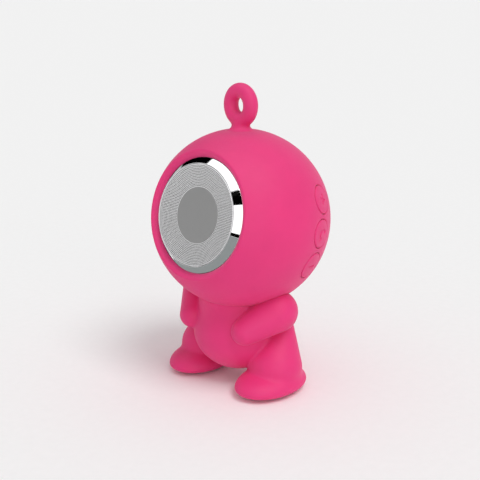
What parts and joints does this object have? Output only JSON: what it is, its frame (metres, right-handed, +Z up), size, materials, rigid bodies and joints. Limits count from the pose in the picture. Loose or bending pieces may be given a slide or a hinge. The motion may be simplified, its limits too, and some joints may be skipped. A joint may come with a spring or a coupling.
{
  "type": "shower speaker",
  "caption": "Waterproof wireless shower speaker shaped as a small standing figure: round speaker head with a hanging loop, silicone skin, side buttons.",
  "frame": {"origin": "on the standing plane under the soles, below the middle of the bounding box", "axes": "+Z up, face towards -Y, the figure's left hand (the button side) towards +X"},
  "size_m": [0.0701, 0.0652, 0.1186],
  "materials": {
    "silicone_pink": "soft-touch matte moulded silicone, hot pink",
    "chrome": "polished chrome plating",
    "grille_metal": "perforated sheet, satin silver",
    "badge_grey": "plain satin grey plate",
    "membrane_black": "fine black water-resistant cloth",
    "housing_plastic": "moulded dark grey ABS",
    "core_plastic": "moulded natural ABS",
    "seal_rubber": "black elastomer",
    "screw_steel": "zinc plated",
    "basket_steel": "black coated pressed steel",
    "magnet_grey": "nickel plated magnet",
    "plate_steel": "yellow-zinc plated steel",
    "coil_copper": "enamelled copper wire on a paper former",
    "cone_black": "pressed black cone",
    "spider_cloth": "impregnated cloth",
    "board_green": "solder-masked circuit board",
    "flex_amber": "polyimide flex circuit",
    "component_black": "black moulded packages",
    "connector_white": "white nylon connectors",
    "can_silver": "tinned shield can",
    "cell_foil": "aluminium laminate pouch",
    "foam_black": "adhesive foam",
    "lead_red": "PVC insulation",
    "clear_plastic": "clear acrylic",
    "microphone_alu": "electret capsule can"
  },
  "bodies": {
    "figure": {"amplifier_chip": "component_black", "battery_cell": "cell_foil", "battery_leads": "lead_red", "battery_pad": "foam_black", "bezel_ring": "chrome", "bezel_screws": "screw_steel", "bluetooth_module": "can_silver", "board_capacitors": "cell_foil", "board_connectors": "connector_white", "board_screws": "screw_steel", "body_skin": "silicone_pink", "button_flex_board": "flex_amber", "centre_disc": "badge_grey", "charge_board": "board_green", "core_back": "core_plastic", "core_front": "core_plastic", "core_screws": "screw_steel", "front_housing": "housing_plastic", "grille": "grille_metal", "head_skin": "silicone_pink", "housing_screws": "screw_steel", "housing_seal": "seal_rubber", "light_pipe": "clear_plastic", "main_board": "board_green", "microphone": "microphone_alu", "microphone_boot": "seal_rubber", "neck_screw": "screw_steel", "rear_housing": "housing_plastic", "speaker_basket": "basket_steel", "speaker_gasket": "seal_rubber", "speaker_leads": "lead_red", "speaker_magnet": "magnet_grey", "speaker_spider": "spider_cloth", "speaker_surround": "seal_rubber", "speaker_terminals": "component_black", "speaker_top_plate": "plate_steel", "speaker_yoke": "plate_steel", "status_led": "clear_plastic", "switch_carrier": "housing_plastic", "tact_switches": "component_black", "usb_seal": "seal_rubber", "usb_socket": "can_silver", "water_membrane": "membrane_black"},
    "cone_assembly": {"speaker_cone": "cone_black", "dust_cap": "cone_black", "voice_coil": "coil_copper"},
    "port_cover": {"port_cover": "silicone_pink"},
    "volume_up_key": {"button_volume_up": "silicone_pink", "switch_stem_volume_up": "component_black"},
    "play_call_key": {"button_play_call": "silicone_pink", "switch_stem_play_call": "component_black"},
    "volume_down_key": {"button_volume_down": "silicone_pink", "switch_stem_volume_down": "component_black"}
  },
  "joints": [
    {"name": "volume_up_press", "type": "slide", "parent": "figure", "child": "volume_up_key", "axis": [-0.9019, -0.3078, -0.3029], "range_m": [0, 0.0005], "stiffness_N_per_m": 300},
    {"name": "play_call_press", "type": "slide", "parent": "figure", "child": "play_call_key", "axis": [-0.9728, -0.2258, 0.0521], "range_m": [0, 0.0005], "stiffness_N_per_m": 300},
    {"name": "volume_down_press", "type": "slide", "parent": "figure", "child": "volume_down_key", "axis": [-0.9019, -0.1438, 0.4072], "range_m": [0, 0.0005], "stiffness_N_per_m": 300},
    {"name": "port_cover_hinge", "type": "hinge", "parent": "figure", "child": "port_cover", "pos_m": [0, 0.03238, 0.06248], "axis": [1, 0, 0], "range_deg": [0, 100], "stiffness_Nm_per_rad": 0.002},
    {"name": "cone_travel", "type": "slide", "parent": "figure", "child": "cone_assembly", "axis": [0, -0.9744, 0.225], "range_m": [-0.0008, 0.0008], "stiffness_N_per_m": 1500, "deforming": ["speaker_surround", "speaker_spider"]}
  ]
}
